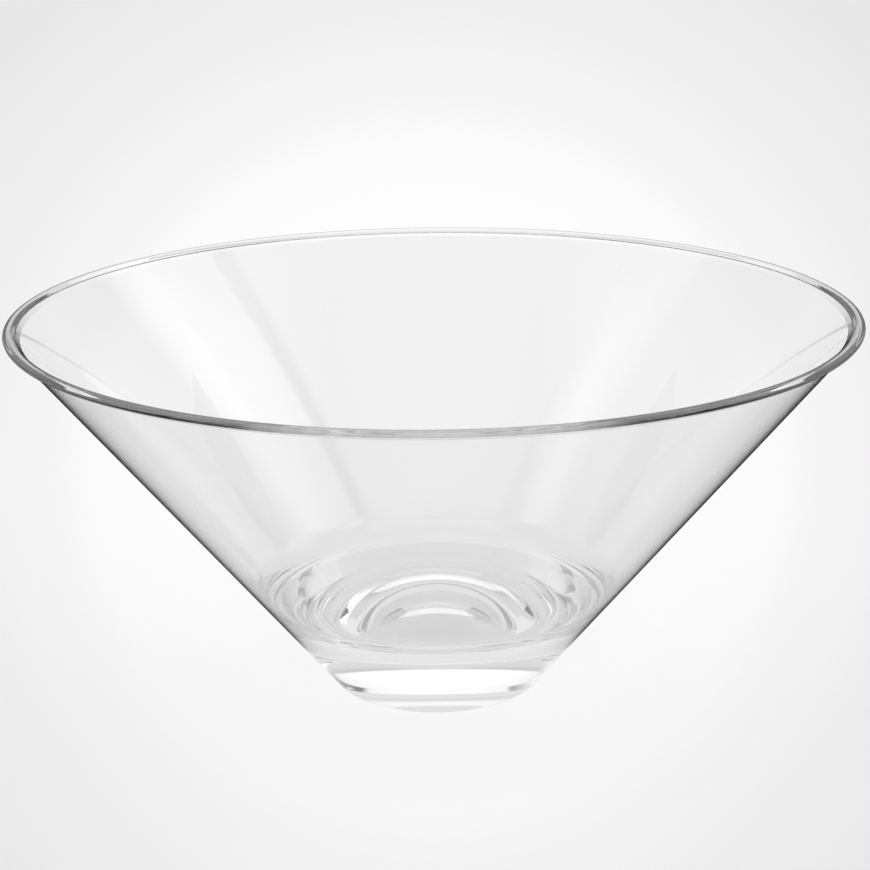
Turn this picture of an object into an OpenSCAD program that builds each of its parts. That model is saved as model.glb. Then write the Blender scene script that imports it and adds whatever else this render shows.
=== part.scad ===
// Serving bowl of clear glass: a plain cone on a solid tapered foot, with a
// bead of glass round the rim. The thick bottom is pushed up in the middle: it
// has a round hollow underneath, and a low dome inside the bowl above it. One
// piece of glass, so one revolved outline. Millimetres, +Z up. The origin is on
// the axis, in the plane that the bowl stands on.

/* [Bowl] */
// Diameter over the rim
rim_d = 280; // [220:1:340]
// Height from the table to the top of the rim
bowl_h = 130.5; // [110:0.5:150]
// Thickness of the conical wall, measured square to it
wall_t = 2; // [1.6:0.1:3.5]

/* [Rim] */
// Width of the rim's bead, across the rim
bead_w = 4.2; // [3.8:0.1:6]
// Height of the rim's bead
bead_h = 2.5; // [2.2:0.1:4]

/* [Foot] */
// Diameter of the flat standing ring, over its outer edge
foot_d = 64.5; // [50:0.5:90]
// Width of the flat standing ring
ring_w = 2; // [1.5:0.1:6]
// Depth of the hollow under the foot, at its middle
hollow_depth = 13.5; // [6:0.5:17]
// Rounding between the standing ring and the hollow
ring_lip_r = 0.6; // [0.3:0.1:2]
// Rounding between the standing ring and the outer wall
foot_edge_r = 5; // [2:0.1:10]

/* [Inside] */
// Thickness of the solid glass in the middle of the bottom
bottom_t = 29.5; // [24:0.5:34]
// Radius of the low dome in the middle of the inside bottom
dome_r = 130; // [100:1:400]
// Radius of the sweep from the dome out and up into the wall
sweep_r = 14; // [8:0.5:24]

/* [Hidden] */

// Most degrees between the points of a round stretch, and degrees between the bead's
// points, which include its outermost and its topmost
arc_step = 3;
bead_step = 7.5;
// Steps round the axis
turn_steps = 240;
// Rounds that settle the wall's lean, which converges in two or three
lean_rounds = 6;

// Quarter of a turn, in degrees: from outward to up, or from down to outward
quarter = 90;

// Middle of the bead, middle of the foot's rounded edge, and where the flat ring starts
bead_mid = [(rim_d - bead_w) / 2, bowl_h - bead_h / 2];
edge_mid = [foot_d / 2, foot_edge_r];
ring_in_r = foot_d / 2 - ring_w;

// A unit vector at an angle in the outline's plane, from the outward direction towards up
function heading(angle) = [cos(angle), sin(angle)];

// Points along a round stretch, of radius r about mid, from one angle to another
function steps_in(turn) = ceil(abs(turn) / arc_step);
function arc(mid, r, from, to) =
    [for (i = [0:steps_in(to - from)]) mid + r * heading(from + (to - from) * i / steps_in(to - from))];

// How far the bead reaches from its middle, square to a wall that leans at this angle
function bead_reach(lean) = norm([bead_w * sin(lean), bead_h * cos(lean)]) / 2;

// The wall's angle above the table. Its inner face meets the bead flush, and its
// outer face, wall_t away, runs into the rounded edge of the foot.
span = bead_mid - edge_mid;
span_angle = atan2(span[1], span[0]);
function wall_lean(rounds) =
    rounds < 1
        ? span_angle
        : span_angle + asin((foot_edge_r - wall_t + bead_reach(wall_lean(rounds - 1))) / norm(span));
lean = wall_lean(lean_rounds);
up_wall = heading(lean);
out_of_wall = heading(lean - quarter);

// The hollow underneath: a cap of a sphere, and the ring's rounded lip, which the cap
// touches from inside
lip_mid = [ring_in_r, ring_lip_r];
hollow_r = (pow(ring_in_r, 2) + pow(ring_lip_r - hollow_depth, 2) - pow(ring_lip_r, 2)) / (2 * hollow_depth);
hollow_mid = [0, hollow_depth - hollow_r];
to_lip = lip_mid - hollow_mid;
hollow_edge_angle = atan2(to_lip[1], to_lip[0]);
hollow = arc(hollow_mid, hollow_r, quarter, hollow_edge_angle);
ring_lip = arc(lip_mid, ring_lip_r, hollow_edge_angle - 2 * quarter, -quarter);

// The foot's edge: from the flat ring up to where the outer wall leaves it
foot_edge = arc(edge_mid, foot_edge_r, -quarter, lean - quarter);

// The bead is an ellipse. It starts where the outer face of the wall runs into it
// from below, and ends where the inner face leaves it.
half_bead = [bead_w, bead_h] / 2;
function on_bead(turn) = bead_mid + [half_bead[0] * cos(turn), half_bead[1] * sin(turn)];
wall_from_mid = (wall_t - bead_reach(lean)) * out_of_wall;
// The same wall line and its direction, where the ellipse is drawn as a circle of radius 1
wall_at = [wall_from_mid[0] / half_bead[0], wall_from_mid[1] / half_bead[1]];
wall_along = [up_wall[0] / half_bead[0], up_wall[1] / half_bead[1]];
along_2 = wall_along * wall_along;
at_along = wall_at * wall_along;
to_crease = (-at_along - sqrt(pow(at_along, 2) - along_2 * (wall_at * wall_at - 1))) / along_2;
crease = wall_at + to_crease * wall_along;
bead_from = atan2(crease[1], crease[0]);
bead_to = atan2(-half_bead[1] * out_of_wall[1], -half_bead[0] * out_of_wall[0]);
first_step = ceil(bead_from / bead_step) * bead_step;
bead_turns = concat([bead_from], [for (turn = [first_step:bead_step:bead_to]) turn], [bead_to]);
bead = [for (turn = bead_turns) on_bead(turn)];

// The sweep touches the wall's inner face and the dome. Its middle lies on a line
// along the wall, as far from the dome's middle as the two radii add up to.
dome_mid = [0, hollow_depth + bottom_t - dome_r];
sweep_line = bead_mid - (bead_reach(lean) + sweep_r) * out_of_wall;
from_dome = sweep_line - dome_mid;
along_line = from_dome * up_wall;
to_sweep = sqrt(pow(along_line, 2) - from_dome * from_dome + pow(dome_r + sweep_r, 2)) - along_line;
sweep_mid = sweep_line + to_sweep * up_wall;
dome_edge = sweep_mid - dome_mid;
dome_edge_angle = atan2(dome_edge[1], dome_edge[0]);
sweep = arc(sweep_mid, sweep_r, lean - quarter, dome_edge_angle - 2 * quarter);
dome = arc(dome_mid, dome_r, dome_edge_angle, quarter);

// The bowl's half section, from the middle of the hollow round to the middle of the dome
outline = concat(hollow, ring_lip, foot_edge, bead, sweep, dome);

module bowl() {
    color("lightcyan", 0.4)
        rotate_extrude($fn = turn_steps)
            polygon(outline);
}

bowl();
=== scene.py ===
import math

import bmesh
import bpy
from mathutils import Matrix, Vector


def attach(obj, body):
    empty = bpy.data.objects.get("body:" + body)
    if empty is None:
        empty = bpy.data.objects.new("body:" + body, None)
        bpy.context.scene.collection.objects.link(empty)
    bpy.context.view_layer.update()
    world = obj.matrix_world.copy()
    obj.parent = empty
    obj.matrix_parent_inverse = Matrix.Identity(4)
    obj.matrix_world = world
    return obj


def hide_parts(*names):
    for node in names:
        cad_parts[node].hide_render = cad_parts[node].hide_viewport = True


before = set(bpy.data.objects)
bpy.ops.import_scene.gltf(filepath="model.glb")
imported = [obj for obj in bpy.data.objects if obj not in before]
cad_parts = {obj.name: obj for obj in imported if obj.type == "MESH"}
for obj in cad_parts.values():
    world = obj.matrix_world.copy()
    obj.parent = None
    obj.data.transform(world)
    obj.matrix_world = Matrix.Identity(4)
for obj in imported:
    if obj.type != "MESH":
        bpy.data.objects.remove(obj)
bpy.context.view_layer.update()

# The bowl's sizes in metres, the same named sizes as the solid's source, with the
# origin on the axis under the foot
RIM_D = 0.280
BOWL_H = 0.1305
WALL_T = 0.002
BEAD_W = 0.0042
BEAD_H = 0.0025
FOOT_D = 0.0645
RING_W = 0.002
HOLLOW_DEPTH = 0.0135
RING_LIP_R = 0.0006
FOOT_EDGE_R = 0.005
BOTTOM_T = 0.0295
DOME_R = 0.130
SWEEP_R = 0.014

# The glass: its faint grey, its refractive index, and the waves that a hot mould leaves,
# as their number to the metre, their finer detail, their strength and their depth
GLASS_TINT = 0.985
GLASS_INDEX = 1.52
WAVE_SCALE = 22.0
WAVE_DETAIL = 1.0
WAVE_STRENGTH = 0.06
WAVE_DEPTH = 0.0006
# The blend at which Layer Weight's facing value is one less the cosine of the angle
EVEN_FACING = 0.5
# Painted shade in the tint of the glass's coat where a ray meets it, by how glancing it meets it: 0 is
# straight on and 1 is along the surface, and the coat deepens a tone by itself towards 1. It paints
# dark edges on the outside and the bead, and a grey shade on the inside seen straight on. First the
# outside of the wall, met from the air, then the inside of the bowl, then the rim's bead, and last
# every face that is met from inside the glass.
OUTSIDE_EDGE_SHADE = ((0.0, 0.995), (0.5, 0.977), (0.66, 0.972), (0.74, 0.958),
                 (0.8, 0.94), (0.86, 0.91), (0.9, 0.86), (1.0, 0.8))
INSIDE_PAINTED_SHADE = ((0.0, 0.91), (0.13, 0.91), (0.2, 0.955), (0.4, 0.965), (0.6, 1.0), (1.0, 1.0))
BEAD_EDGE_SHADE = ((0.0, 0.995), (0.4, 0.99), (0.6, 0.98), (0.75, 0.94), (0.9, 0.84), (1.0, 0.78))
BOUNCE_KEEPS = 0.995
# Which faces are the inside of the bowl, by how far they look up, from -1 to 1
LOOKS_UP = (-1.0, 1.0, ((0.0, 0.0), (0.45, 0.0), (0.6, 1.0), (1.0, 1.0)))
# The heights between which the solid foot, whose edge gets no painted shade, turns into the wall,
# whose edge is painted dark
FOOT_UNSHADED = (0.018, 0.027, ((0.0, 1.0), (1.0, 0.0)))

# The table's reach each way, its squares, and how much of it glows by itself where it is
# seen or mirrored, and not by the light that falls on it
FLOOR_REACH = 12.0
FLOOR_SQUARES = 8
FLOOR_GLOW_SHARE = 0.8
# The painted pool of light on the table, in its colour and its glow: the point it is painted as coming
# from, its middle, the slant off its beam at which it has faded, its brightness, and its tones from
# the middle out
POOL_FROM = Vector((0.0, -0.645, 0.285))
POOL_AT = Vector((0.0, 0.213, 0.0))
POOL_SPREAD = 0.30
POOL_GLOW = 1.1
PAINTED_POOL_TONES = ((0.0, 0.95), (0.40, 0.945), (0.53, 0.925), (0.66, 0.865), (0.80, 0.815), (1.0, 0.765))
# The bowl's soft shadow painted on the table's glow, by the distance from the middle of the foot. It
# shows only through the glass and mirrored in it, and the table round the bowl stays pale.
PAINTED_SHADOW = (0.0, 0.25, ((0.0, 0.76), (0.15, 0.82), (0.26, 0.88), (0.42, 0.95), (0.8, 1.0), (1.0, 1.0)))

# The room is drawn by direction. The ceiling box reaches from overhead to the front and
# the sides. It goes by the rise of a direction, and by its slope towards the back, for
# which a rise counts as no less than this.
LEAST_RISE = 0.02
CEILING_DEEP = (-0.2, 0.2, ((0.0, 1.0), (0.5, 1.0), (0.75, 0.0), (1.0, 0.0)))
CEILING_RISE = (0.7, 1.0, ((0.0, 0.0), (0.26, 0.0), (0.32, 0.8), (0.5, 0.85), (0.7, 0.95), (1.0, 1.0)))
CEILING_GLOW = 1.25
# The side boxes go by the rise of a direction, and by how far it looks to the back. The
# bowl's left wall mirrors the right box, and its right wall the left one.
RIGHT_RISE = (0.4, 0.8, ((0.0, 0.0), (0.15, 0.0), (0.33, 0.5), (0.45, 0.85), (0.57, 1.0),
                         (0.7, 0.8), (0.89, 0.65), (0.92, 0.0), (1.0, 0.0)))
RIGHT_DEEP = (-0.6, 0.8, ((0.0, 0.0), (0.1, 0.0), (0.2, 1.0), (0.86, 1.0), (0.92, 0.0), (1.0, 0.0)))
RIGHT_GLOW = 1.8
LEFT_RISE = (0.55, 0.85, ((0.0, 0.0), (0.1, 0.0), (0.3, 0.5), (0.47, 0.9), (0.6, 1.0),
                          (0.73, 0.75), (0.87, 0.4), (1.0, 0.3)))
LEFT_DEEP = (-0.6, 0.8, ((0.0, 0.0), (0.1, 0.0), (0.3, 1.0), (0.36, 1.0), (0.44, 0.75),
                         (0.6, 0.65), (0.9, 0.35), (1.0, 0.0)))
LEFT_GLOW = 1.65
# The room all round, by how far a direction's bearing looks to the back: a pale wall behind
# the table and pale sides, dark cards beside the camera and a pale wall behind it
ROOM_ROUND = (-1.0, 1.0, ((0.0, 0.95), (0.14, 0.95), (0.19, 0.06), (0.42, 0.06),
                          (0.5, 0.45), (0.65, 0.7), (0.8, 0.76), (1.0, 0.78)))
# The lit upper part of the back wall, by the rise and the bearing of a direction
BACK_RISE = (0.4, 1.0, ((0.0, 0.0), (0.15, 0.0), (0.27, 1.0), (0.7, 1.0), (0.8, 0.0), (1.0, 0.0)))
BACK_ROUND = (0.5, 1.0, ((0.0, 0.0), (0.3, 0.0), (0.7, 1.0), (1.0, 1.0)))
BACK_GLOW = 1.0
# The tone of the backdrop past the table's far edge, where the camera looks straight at it
BACKDROP = 0.84

# Two small dark cards behind the ends of the rim, seen only through the glass, which paint shade on
# the rim's ends: how far behind the axis, the corners from the axis outwards and up, and their tone
CARD_BEHIND = 0.2
RIM_CARD = ((0.13, 0.15), (0.22, 0.15), (0.31, 0.2), (0.31, 0.31), (0.19, 0.31), (0.13, 0.22))
RIM_SHADE_TONE = 0.03

# The camera in the photograph's frame: its focal length and the frame's side in pixels, the
# sensor's side and the nearest distance that it sees, how far it stands in front of the
# bead's middle and above it in radii of the bead, and its tilt down and roll in degrees
FOCAL_PIXELS = 2000
FRAME_PIXELS = 870
SENSOR_MM = 36.0
NEAREST_SEEN = 0.01
CAMERA_FRONT = 4.676
CAMERA_ABOVE = 1.129
CAMERA_TILT = 17.08
CAMERA_ROLL = -0.607

# Rounds that settle the wall's lean, which converges in two or three
LEAN_ROUNDS = 6
# Points in each stretch of the outline, and steps round the axis
BEAD_STEPS = 40
WALL_STEPS = 30
EDGE_STEPS = 14
RING_STEPS = 2
LIP_STEPS = 8
HOLLOW_STEPS = 34
SWEEP_STEPS = 46
DOME_STEPS = 34
TURN_STEPS = 400
# Points closer than this are one, and faces that meet at less than this angle are shaded
# as one round surface
MERGE_GAP = 1e-7
ROUND_TURN = math.radians(12)
# Light runs down inside the thin wall from the rim to the foot, as in a light guide, so
# its paths need room for many bounces
LIGHT_BOUNCES = 96


def heading(angle):
    """A unit vector in the outline's plane, at an angle from outward towards up."""
    return Vector((math.cos(angle), 0.0, math.sin(angle)))


def angle_of(direction):
    """The angle of a direction in the outline's plane, from outward towards up."""
    return math.atan2(direction.z, direction.x)


def bead_reach(lean):
    """How far the bead reaches from its middle, square to a wall with this lean."""
    return math.hypot(BEAD_W * math.sin(lean), BEAD_H * math.cos(lean)) / 2


# The wall's lean above the table: its inner face leaves the bead flush, and its outer
# face runs into the rounded edge of the foot
bead_mid = Vector(((RIM_D - BEAD_W) / 2, 0.0, BOWL_H - BEAD_H / 2))
edge_mid = Vector((FOOT_D / 2, 0.0, FOOT_EDGE_R))
span = bead_mid - edge_mid
lean = angle_of(span)
for settle in range(LEAN_ROUNDS):
    lean = angle_of(span) + math.asin((FOOT_EDGE_R - WALL_T + bead_reach(lean)) / span.length)
up_wall = heading(lean)
out_of_wall = heading(lean - math.pi / 2)


def next_vert(made):
    """The point at which a stretch of the outline ends."""
    return [v for v in made["geom_last"] if isinstance(v, bmesh.types.BMVert)][0]


def draw_arc(bm, start, middle, end, steps):
    """Carries the outline on from a point, the short way round a middle, to the heading of an end."""
    turn = angle_of(end - middle) - angle_of(start.co - middle)
    turn = (turn + math.pi) % (2 * math.pi) - math.pi
    made = bmesh.ops.spin(bm, geom=[start], cent=middle, axis=(0, -1, 0), angle=turn, steps=steps)
    return next_vert(made)


def draw_line(bm, start, end, steps):
    """Carries the outline on from a point, in even steps along a straight line."""
    made = bmesh.ops.spin(bm, geom=[start], cent=start.co, axis=(0, -1, 0), angle=0.0,
                          dvec=(end - start.co) / steps, steps=steps)
    return next_vert(made)


def bead_turns():
    """Where the bead starts at the crease under it and ends flush with the inner wall.

    Both are angles on the bead pressed back to a circle of radius one.
    """
    unpress = Vector((2 / BEAD_W, 0.0, 2 / BEAD_H))
    wall_at = (WALL_T - bead_reach(lean)) * out_of_wall * unpress
    wall_along = up_wall * unpress
    along_2 = wall_along.length_squared
    at_along = wall_at.dot(wall_along)
    back = -at_along - math.sqrt(at_along ** 2 - along_2 * (wall_at.length_squared - 1))
    crease = wall_at + wall_along * (back / along_2)
    flush = -Vector((BEAD_W * out_of_wall.x, 0.0, BEAD_H * out_of_wall.z))
    return angle_of(crease), angle_of(flush)


def draw_bead(bm):
    """The fire-polished bead of the rim: a round arc pressed to the bead's width and height."""
    crease_turn, flush_turn = bead_turns()
    crease = bm.verts.new(bead_mid + heading(crease_turn))
    turned = bmesh.ops.spin(bm, geom=[crease], cent=bead_mid, axis=(0, -1, 0),
                            angle=flush_turn - crease_turn, steps=BEAD_STEPS)
    bmesh.ops.scale(bm, vec=(BEAD_W / 2, 1.0, BEAD_H / 2), verts=bm.verts[:],
                    space=Matrix.Translation(-bead_mid))
    return crease, next_vert(turned)


def draw_outside(bm, crease):
    """From the bead down the cone, round the foot's edge, over the ring and into the hollow."""
    wall_foot = draw_line(bm, crease, edge_mid + FOOT_EDGE_R * out_of_wall, WALL_STEPS)
    ring_out = draw_arc(bm, wall_foot, edge_mid, Vector((FOOT_D / 2, 0.0, 0.0)), EDGE_STEPS)
    lip_mid = Vector((FOOT_D / 2 - RING_W, 0.0, RING_LIP_R))
    ring_in = draw_line(bm, ring_out, Vector((lip_mid.x, 0.0, 0.0)), RING_STEPS)
    drop_2 = (RING_LIP_R - HOLLOW_DEPTH) ** 2 - RING_LIP_R ** 2
    hollow_r = (lip_mid.x ** 2 + drop_2) / (2 * HOLLOW_DEPTH)
    hollow_mid = Vector((0.0, 0.0, HOLLOW_DEPTH - hollow_r))
    hollow_edge = draw_arc(bm, ring_in, lip_mid, hollow_mid, LIP_STEPS)
    return draw_arc(bm, hollow_edge, hollow_mid, Vector((0.0, 0.0, HOLLOW_DEPTH)), HOLLOW_STEPS)


def draw_inside(bm, flush):
    """From the bead down the inner wall, round the sweep and up over the dome in the middle."""
    dome_top = Vector((0.0, 0.0, HOLLOW_DEPTH + BOTTOM_T))
    dome_mid = dome_top - Vector((0.0, 0.0, DOME_R))
    sweep_line = bead_mid - (bead_reach(lean) + SWEEP_R) * out_of_wall
    from_dome = sweep_line - dome_mid
    along = from_dome.dot(up_wall)
    apart_2 = (DOME_R + SWEEP_R) ** 2
    to_sweep = -along + math.sqrt(along ** 2 - from_dome.length_squared + apart_2)
    sweep_mid = sweep_line + to_sweep * up_wall
    wall_foot = draw_line(bm, flush, sweep_mid + SWEEP_R * out_of_wall, WALL_STEPS)
    dome_edge = draw_arc(bm, wall_foot, sweep_mid, dome_mid, SWEEP_STEPS)
    return draw_arc(bm, dome_edge, dome_mid, dome_top, DOME_STEPS)


def placed(name, bm):
    """Turns a finished bmesh into an object of the scene, with its place in its mesh."""
    mesh = bpy.data.meshes.new(name)
    bm.to_mesh(mesh)
    bm.free()
    made = bpy.data.objects.new(name, mesh)
    bpy.context.scene.collection.objects.link(made)
    return made


def make_bowl():
    """Turns the bowl's outline once round the axis, from the hollow's pole to the dome's."""
    bm = bmesh.new()
    crease, flush = draw_bead(bm)
    for pole in (draw_outside(bm, crease), draw_inside(bm, flush)):
        pole.co.x = 0.0
    outline = bm.verts[:] + bm.edges[:]
    bmesh.ops.spin(bm, geom=outline, cent=(0, 0, 0), axis=(0, 0, 1), angle=2 * math.pi,
                   steps=TURN_STEPS, use_merge=True)
    bmesh.ops.remove_doubles(bm, verts=bm.verts, dist=MERGE_GAP)
    bmesh.ops.recalc_face_normals(bm, faces=bm.faces)
    for face in bm.faces:
        face.smooth = True
    for edge in bm.edges:
        edge.smooth = edge.calc_face_angle(0.0) < ROUND_TURN
    return placed("serving_bowl", bm)


def grey(tone):
    """A grey as an opaque colour."""
    return (tone, tone, tone, 1.0)


def new_material(name):
    """A material with an empty node tree, and its nodes and links."""
    material = bpy.data.materials.new(name)
    material.use_nodes = True
    material.node_tree.nodes.clear()
    return material, material.node_tree.nodes, material.node_tree.links


def set_stops(ramp, tones, way):
    """Fills a colour ramp with grey tones: pairs of a place from 0 to 1 and a tone."""
    ramp.interpolation = way
    stops = ramp.elements
    for stop, (place, tone) in zip(stops, (tones[0], tones[-1])):
        stop.position = place
        stop.color = grey(tone)
    for place, tone in tones[1:-1]:
        stops.new(place).color = grey(tone)


def curve_of(nodes, links, value, low, high, tones, way="LINEAR"):
    """A grey tone that follows a value from low to high."""
    spread = nodes.new("ShaderNodeMapRange")
    spread.inputs["From Min"].default_value = low
    spread.inputs["From Max"].default_value = high
    ramp = nodes.new("ShaderNodeValToRGB")
    set_stops(ramp.color_ramp, tones, way)
    links.new(value, spread.inputs["Value"])
    links.new(spread.outputs["Result"], ramp.inputs["Fac"])
    return ramp.outputs["Color"]


def worked(nodes, links, operation, first, second):
    """The result of one sum on two values. A plain number may stand for the second."""
    node = nodes.new("ShaderNodeMath")
    node.operation = operation
    links.new(first, node.inputs[0])
    if isinstance(second, float):
        node.inputs[1].default_value = second
    else:
        links.new(second, node.inputs[1])
    return node.outputs[0]


def blended(nodes, links, share, first, second):
    """A tone between two, by a share from 0 to 1. A plain grey may stand for the second."""
    node = nodes.new("ShaderNodeMix")
    node.data_type = "RGBA"
    links.new(share, node.inputs["Factor"])
    links.new(first, node.inputs["A"])
    if isinstance(second, float):
        node.inputs["B"].default_value = grey(second)
    else:
        links.new(second, node.inputs["B"])
    return node.outputs["Result"]


def vector_worked(nodes, links, operation, vector, other=None):
    """The result of one sum on a vector, with a plain vector where the sum takes a second."""
    node = nodes.new("ShaderNodeVectorMath")
    node.operation = operation
    links.new(vector, node.inputs[0])
    if other is not None:
        node.inputs[1].default_value = other
    return node.outputs["Value" if operation == "LENGTH" else "Vector"]


def parts_of(nodes, links, vector):
    """The three parts of a vector, as outputs X, Y and Z."""
    node = nodes.new("ShaderNodeSeparateXYZ")
    links.new(vector, node.inputs["Vector"])
    return node.outputs


def coat_painted_shade(nodes, links, place):
    """The coat's tint at each hit, a painted shade by the face that is hit and by how glancing the hit
    is.

    The outside of the wall and the bead are painted darker where they are met from the air at a
    glancing angle, which paints in the dark edges that clear glass has. The inside of the bowl gets a
    little painted shade where it is met straight on, and a face that is met from inside the glass next
    to nothing.
    """
    slant = nodes.new("ShaderNodeLayerWeight")
    slant.inputs["Blend"].default_value = EVEN_FACING
    side = nodes.new("ShaderNodeNewGeometry")
    up = parts_of(nodes, links, place.outputs["Normal"])["Z"]
    height = parts_of(nodes, links, place.outputs["Object"])["Z"]
    outside, inside, bead = (curve_of(nodes, links, slant.outputs["Facing"], 0.0, 1.0, tones)
                             for tones in (OUTSIDE_EDGE_SHADE, INSIDE_PAINTED_SHADE, BEAD_EDGE_SHADE))
    outside = blended(nodes, links, curve_of(nodes, links, height, *FOOT_UNSHADED), outside, 1.0)
    wall = blended(nodes, links, curve_of(nodes, links, up, *LOOKS_UP), outside, inside)
    in_bead = worked(nodes, links, "GREATER_THAN", height, BOWL_H - BEAD_H)
    from_air = blended(nodes, links, in_bead, wall, bead)
    return blended(nodes, links, side.outputs["Backfacing"], from_air, BOUNCE_KEEPS)


def clear_glass():
    """Clear colourless glass with the faint unevenness that a hot mould leaves.

    Its coat has the index of air, so it mirrors nothing of its own and only tints the light, with
    painted shade on its edges and on the inside of the bowl.
    """
    material, nodes, links = new_material("clear_glass")
    output = nodes.new("ShaderNodeOutputMaterial")
    glass = nodes.new("ShaderNodeBsdfPrincipled")
    glass.inputs["Base Color"].default_value = grey(GLASS_TINT)
    glass.inputs["Roughness"].default_value = 0.0
    glass.inputs["IOR"].default_value = GLASS_INDEX
    glass.inputs["Transmission Weight"].default_value = 1.0
    glass.inputs["Coat Weight"].default_value = 1.0
    glass.inputs["Coat Roughness"].default_value = 0.0
    glass.inputs["Coat IOR"].default_value = 1.0
    place = nodes.new("ShaderNodeTexCoord")
    # The coat's tint carries the painted shade of the edges and the inside
    links.new(coat_painted_shade(nodes, links, place), glass.inputs["Coat Tint"])
    waves = nodes.new("ShaderNodeTexNoise")
    waves.inputs["Scale"].default_value = WAVE_SCALE
    waves.inputs["Detail"].default_value = WAVE_DETAIL
    bump = nodes.new("ShaderNodeBump")
    bump.inputs["Strength"].default_value = WAVE_STRENGTH
    bump.inputs["Distance"].default_value = WAVE_DEPTH
    links.new(place.outputs["Object"], waves.inputs["Vector"])
    links.new(waves.outputs["Fac"], bump.inputs["Height"])
    links.new(bump.outputs["Normal"], glass.inputs["Normal"])
    links.new(glass.outputs["BSDF"], output.inputs["Surface"])
    return material


def floor_painted_light():
    """A pale studio table with a soft round pool of light painted on it, as if from in front.

    Where it is seen, mirrored or looked at through the glass, most of its light is a glow
    of its own in the painted pool's tones. The bowl's soft shadow is painted into that glow, for all
    but the camera's straight look at the table.
    """
    material, nodes, links = new_material("floor_painted_light")
    output = nodes.new("ShaderNodeOutputMaterial")
    place = nodes.new("ShaderNodeTexCoord")
    seen = nodes.new("ShaderNodeLightPath")
    beam = (POOL_AT - POOL_FROM).normalized()
    from_pool = vector_worked(nodes, links, "SUBTRACT", place.outputs["Object"], POOL_FROM)
    ray = vector_worked(nodes, links, "NORMALIZE", from_pool)
    off_beam = vector_worked(nodes, links, "CROSS_PRODUCT", ray, beam)
    slant = vector_worked(nodes, links, "LENGTH", off_beam)
    # Painted pool of light, in both the table's colour and its glow
    fade = curve_of(nodes, links, slant, 0.0, POOL_SPREAD, PAINTED_POOL_TONES, "EASE")
    # Painted shadow of the bowl, left out where the camera looks straight at the table
    from_foot = vector_worked(nodes, links, "LENGTH", place.outputs["Object"])
    painted_shadow = curve_of(nodes, links, from_foot, *PAINTED_SHADOW)
    painted_shadow = worked(nodes, links, "MAXIMUM", painted_shadow, seen.outputs["Is Camera Ray"])
    lit = nodes.new("ShaderNodeBsdfDiffuse")
    links.new(fade, lit.inputs["Color"])
    glow = nodes.new("ShaderNodeEmission")
    glow.inputs["Strength"].default_value = POOL_GLOW
    links.new(worked(nodes, links, "MULTIPLY", fade, painted_shadow), glow.inputs["Color"])
    in_view = worked(nodes, links, "MAXIMUM", seen.outputs["Is Camera Ray"],
                     seen.outputs["Is Glossy Ray"])
    in_view = worked(nodes, links, "MAXIMUM", in_view, seen.outputs["Is Transmission Ray"])
    blend = nodes.new("ShaderNodeMixShader")
    links.new(worked(nodes, links, "MULTIPLY", in_view, FLOOR_GLOW_SHARE), blend.inputs["Fac"])
    links.new(lit.outputs["BSDF"], blend.inputs[1])
    links.new(glow.outputs["Emission"], blend.inputs[2])
    links.new(blend.outputs["Shader"], output.inputs["Surface"])
    return material


def make_floor():
    """The table that the bowl stands on."""
    bm = bmesh.new()
    bmesh.ops.create_grid(bm, x_segments=FLOOR_SQUARES, y_segments=FLOOR_SQUARES, size=FLOOR_REACH)
    floor = placed("studio_floor", bm)
    floor.data.materials.append(floor_painted_light())


def make_rim_shade_cards():
    """Two small dark cards behind the ends of the rim, which show only through the glass and paint
    shade on the rim's ends.
    """
    material, nodes, links = new_material("rim_shade_card")
    output = nodes.new("ShaderNodeOutputMaterial")
    dark = nodes.new("ShaderNodeEmission")
    dark.inputs["Color"].default_value = grey(RIM_SHADE_TONE)
    links.new(dark.outputs["Emission"], output.inputs["Surface"])
    for side, name in ((-1, "rim_shade_card_left"), (1, "rim_shade_card_right")):
        bm = bmesh.new()
        corners = [bm.verts.new((side * across, CARD_BEHIND, rise)) for across, rise in RIM_CARD]
        bm.faces.new(corners)
        card = placed(name, bm)
        card.data.materials.append(material)
        card.visible_camera = False
        card.visible_diffuse = False
        card.visible_glossy = False
        card.visible_shadow = False


def soft_box(nodes, links, glow, *fades):
    """A soft box in the room, which is bright where all its fades are bright."""
    box = fades[0]
    for fade in fades[1:]:
        box = worked(nodes, links, "MULTIPLY", box, fade)
    return worked(nodes, links, "MULTIPLY", box, glow)


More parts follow.
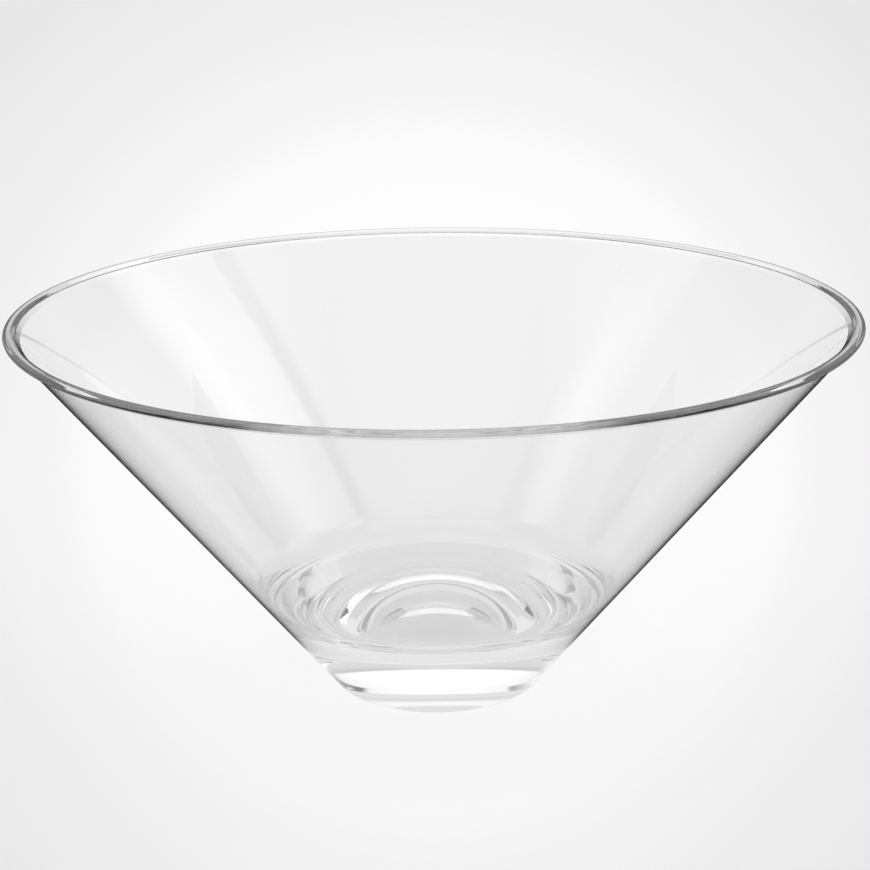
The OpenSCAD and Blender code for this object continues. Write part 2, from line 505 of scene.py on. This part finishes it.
def studio_world():
    """A pale room with dark cards beside the camera and soft boxes overhead and at the sides."""
    world = bpy.data.worlds.new("studio_world")
    bpy.context.scene.world = world
    world.use_nodes = True
    nodes, links = world.node_tree.nodes, world.node_tree.links
    nodes.clear()
    output = nodes.new("ShaderNodeOutputWorld")
    light = nodes.new("ShaderNodeBackground")
    place = nodes.new("ShaderNodeTexCoord")
    axes = parts_of(nodes, links, place.outputs["Generated"])
    across, deep, rise = (axes[axis] for axis in "XYZ")
    level = vector_worked(nodes, links, "MULTIPLY", place.outputs["Generated"], (1.0, 1.0, 0.0))
    to_back = parts_of(nodes, links, vector_worked(nodes, links, "NORMALIZE", level))["Y"]

    above = worked(nodes, links, "MAXIMUM", rise, LEAST_RISE)
    back_slope = worked(nodes, links, "DIVIDE", deep, above)
    ceiling = soft_box(nodes, links, CEILING_GLOW,
                       curve_of(nodes, links, back_slope, *CEILING_DEEP),
                       curve_of(nodes, links, rise, *CEILING_RISE))
    right = soft_box(nodes, links, RIGHT_GLOW,
                     curve_of(nodes, links, rise, *RIGHT_RISE),
                     curve_of(nodes, links, deep, *RIGHT_DEEP),
                     worked(nodes, links, "GREATER_THAN", across, 0.0))
    left = soft_box(nodes, links, LEFT_GLOW,
                    curve_of(nodes, links, rise, *LEFT_RISE),
                    curve_of(nodes, links, deep, *LEFT_DEEP),
                    worked(nodes, links, "LESS_THAN", across, 0.0))
    back = soft_box(nodes, links, BACK_GLOW,
                    curve_of(nodes, links, rise, *BACK_RISE),
                    curve_of(nodes, links, to_back, *BACK_ROUND))
    tone = curve_of(nodes, links, to_back, *ROOM_ROUND)
    for box in (ceiling, right, left, back):
        tone = worked(nodes, links, "MAXIMUM", tone, box)
    seen = nodes.new("ShaderNodeLightPath")
    tone = blended(nodes, links, seen.outputs["Is Camera Ray"], tone, BACKDROP)
    links.new(tone, light.inputs["Color"])
    links.new(light.outputs["Background"], output.inputs["Surface"])


def make_camera():
    """The photograph's viewing angle: from in front, 17 degrees down, with a long lens."""
    camera = bpy.data.objects.new("camera", bpy.data.cameras.new("camera"))
    bpy.context.scene.collection.objects.link(camera)
    camera.data.sensor_width = SENSOR_MM
    camera.data.lens = FOCAL_PIXELS * SENSOR_MM / FRAME_PIXELS
    camera.data.clip_start = NEAREST_SEEN
    bead_r = (RIM_D - BEAD_W) / 2
    place = Vector((0.0, -CAMERA_FRONT * bead_r, CAMERA_ABOVE * bead_r + BOWL_H - BEAD_H / 2))
    tilt = Matrix.Rotation(math.radians(90 - CAMERA_TILT), 4, "X")
    roll = Matrix.Rotation(math.radians(CAMERA_ROLL), 4, "Z")
    camera.matrix_world = Matrix.Translation(place) @ tilt @ roll
    bpy.context.scene.camera = camera


bowl = make_bowl()
bowl.data.materials.append(clear_glass())
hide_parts("bowl")
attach(bowl, "root")

make_floor()
make_rim_shade_cards()
studio_world()
make_camera()
bpy.context.scene.view_settings.view_transform = "Standard"

light_paths = bpy.context.scene.cycles
light_paths.max_bounces = LIGHT_BOUNCES
light_paths.glossy_bounces = LIGHT_BOUNCES
light_paths.transmission_bounces = LIGHT_BOUNCES
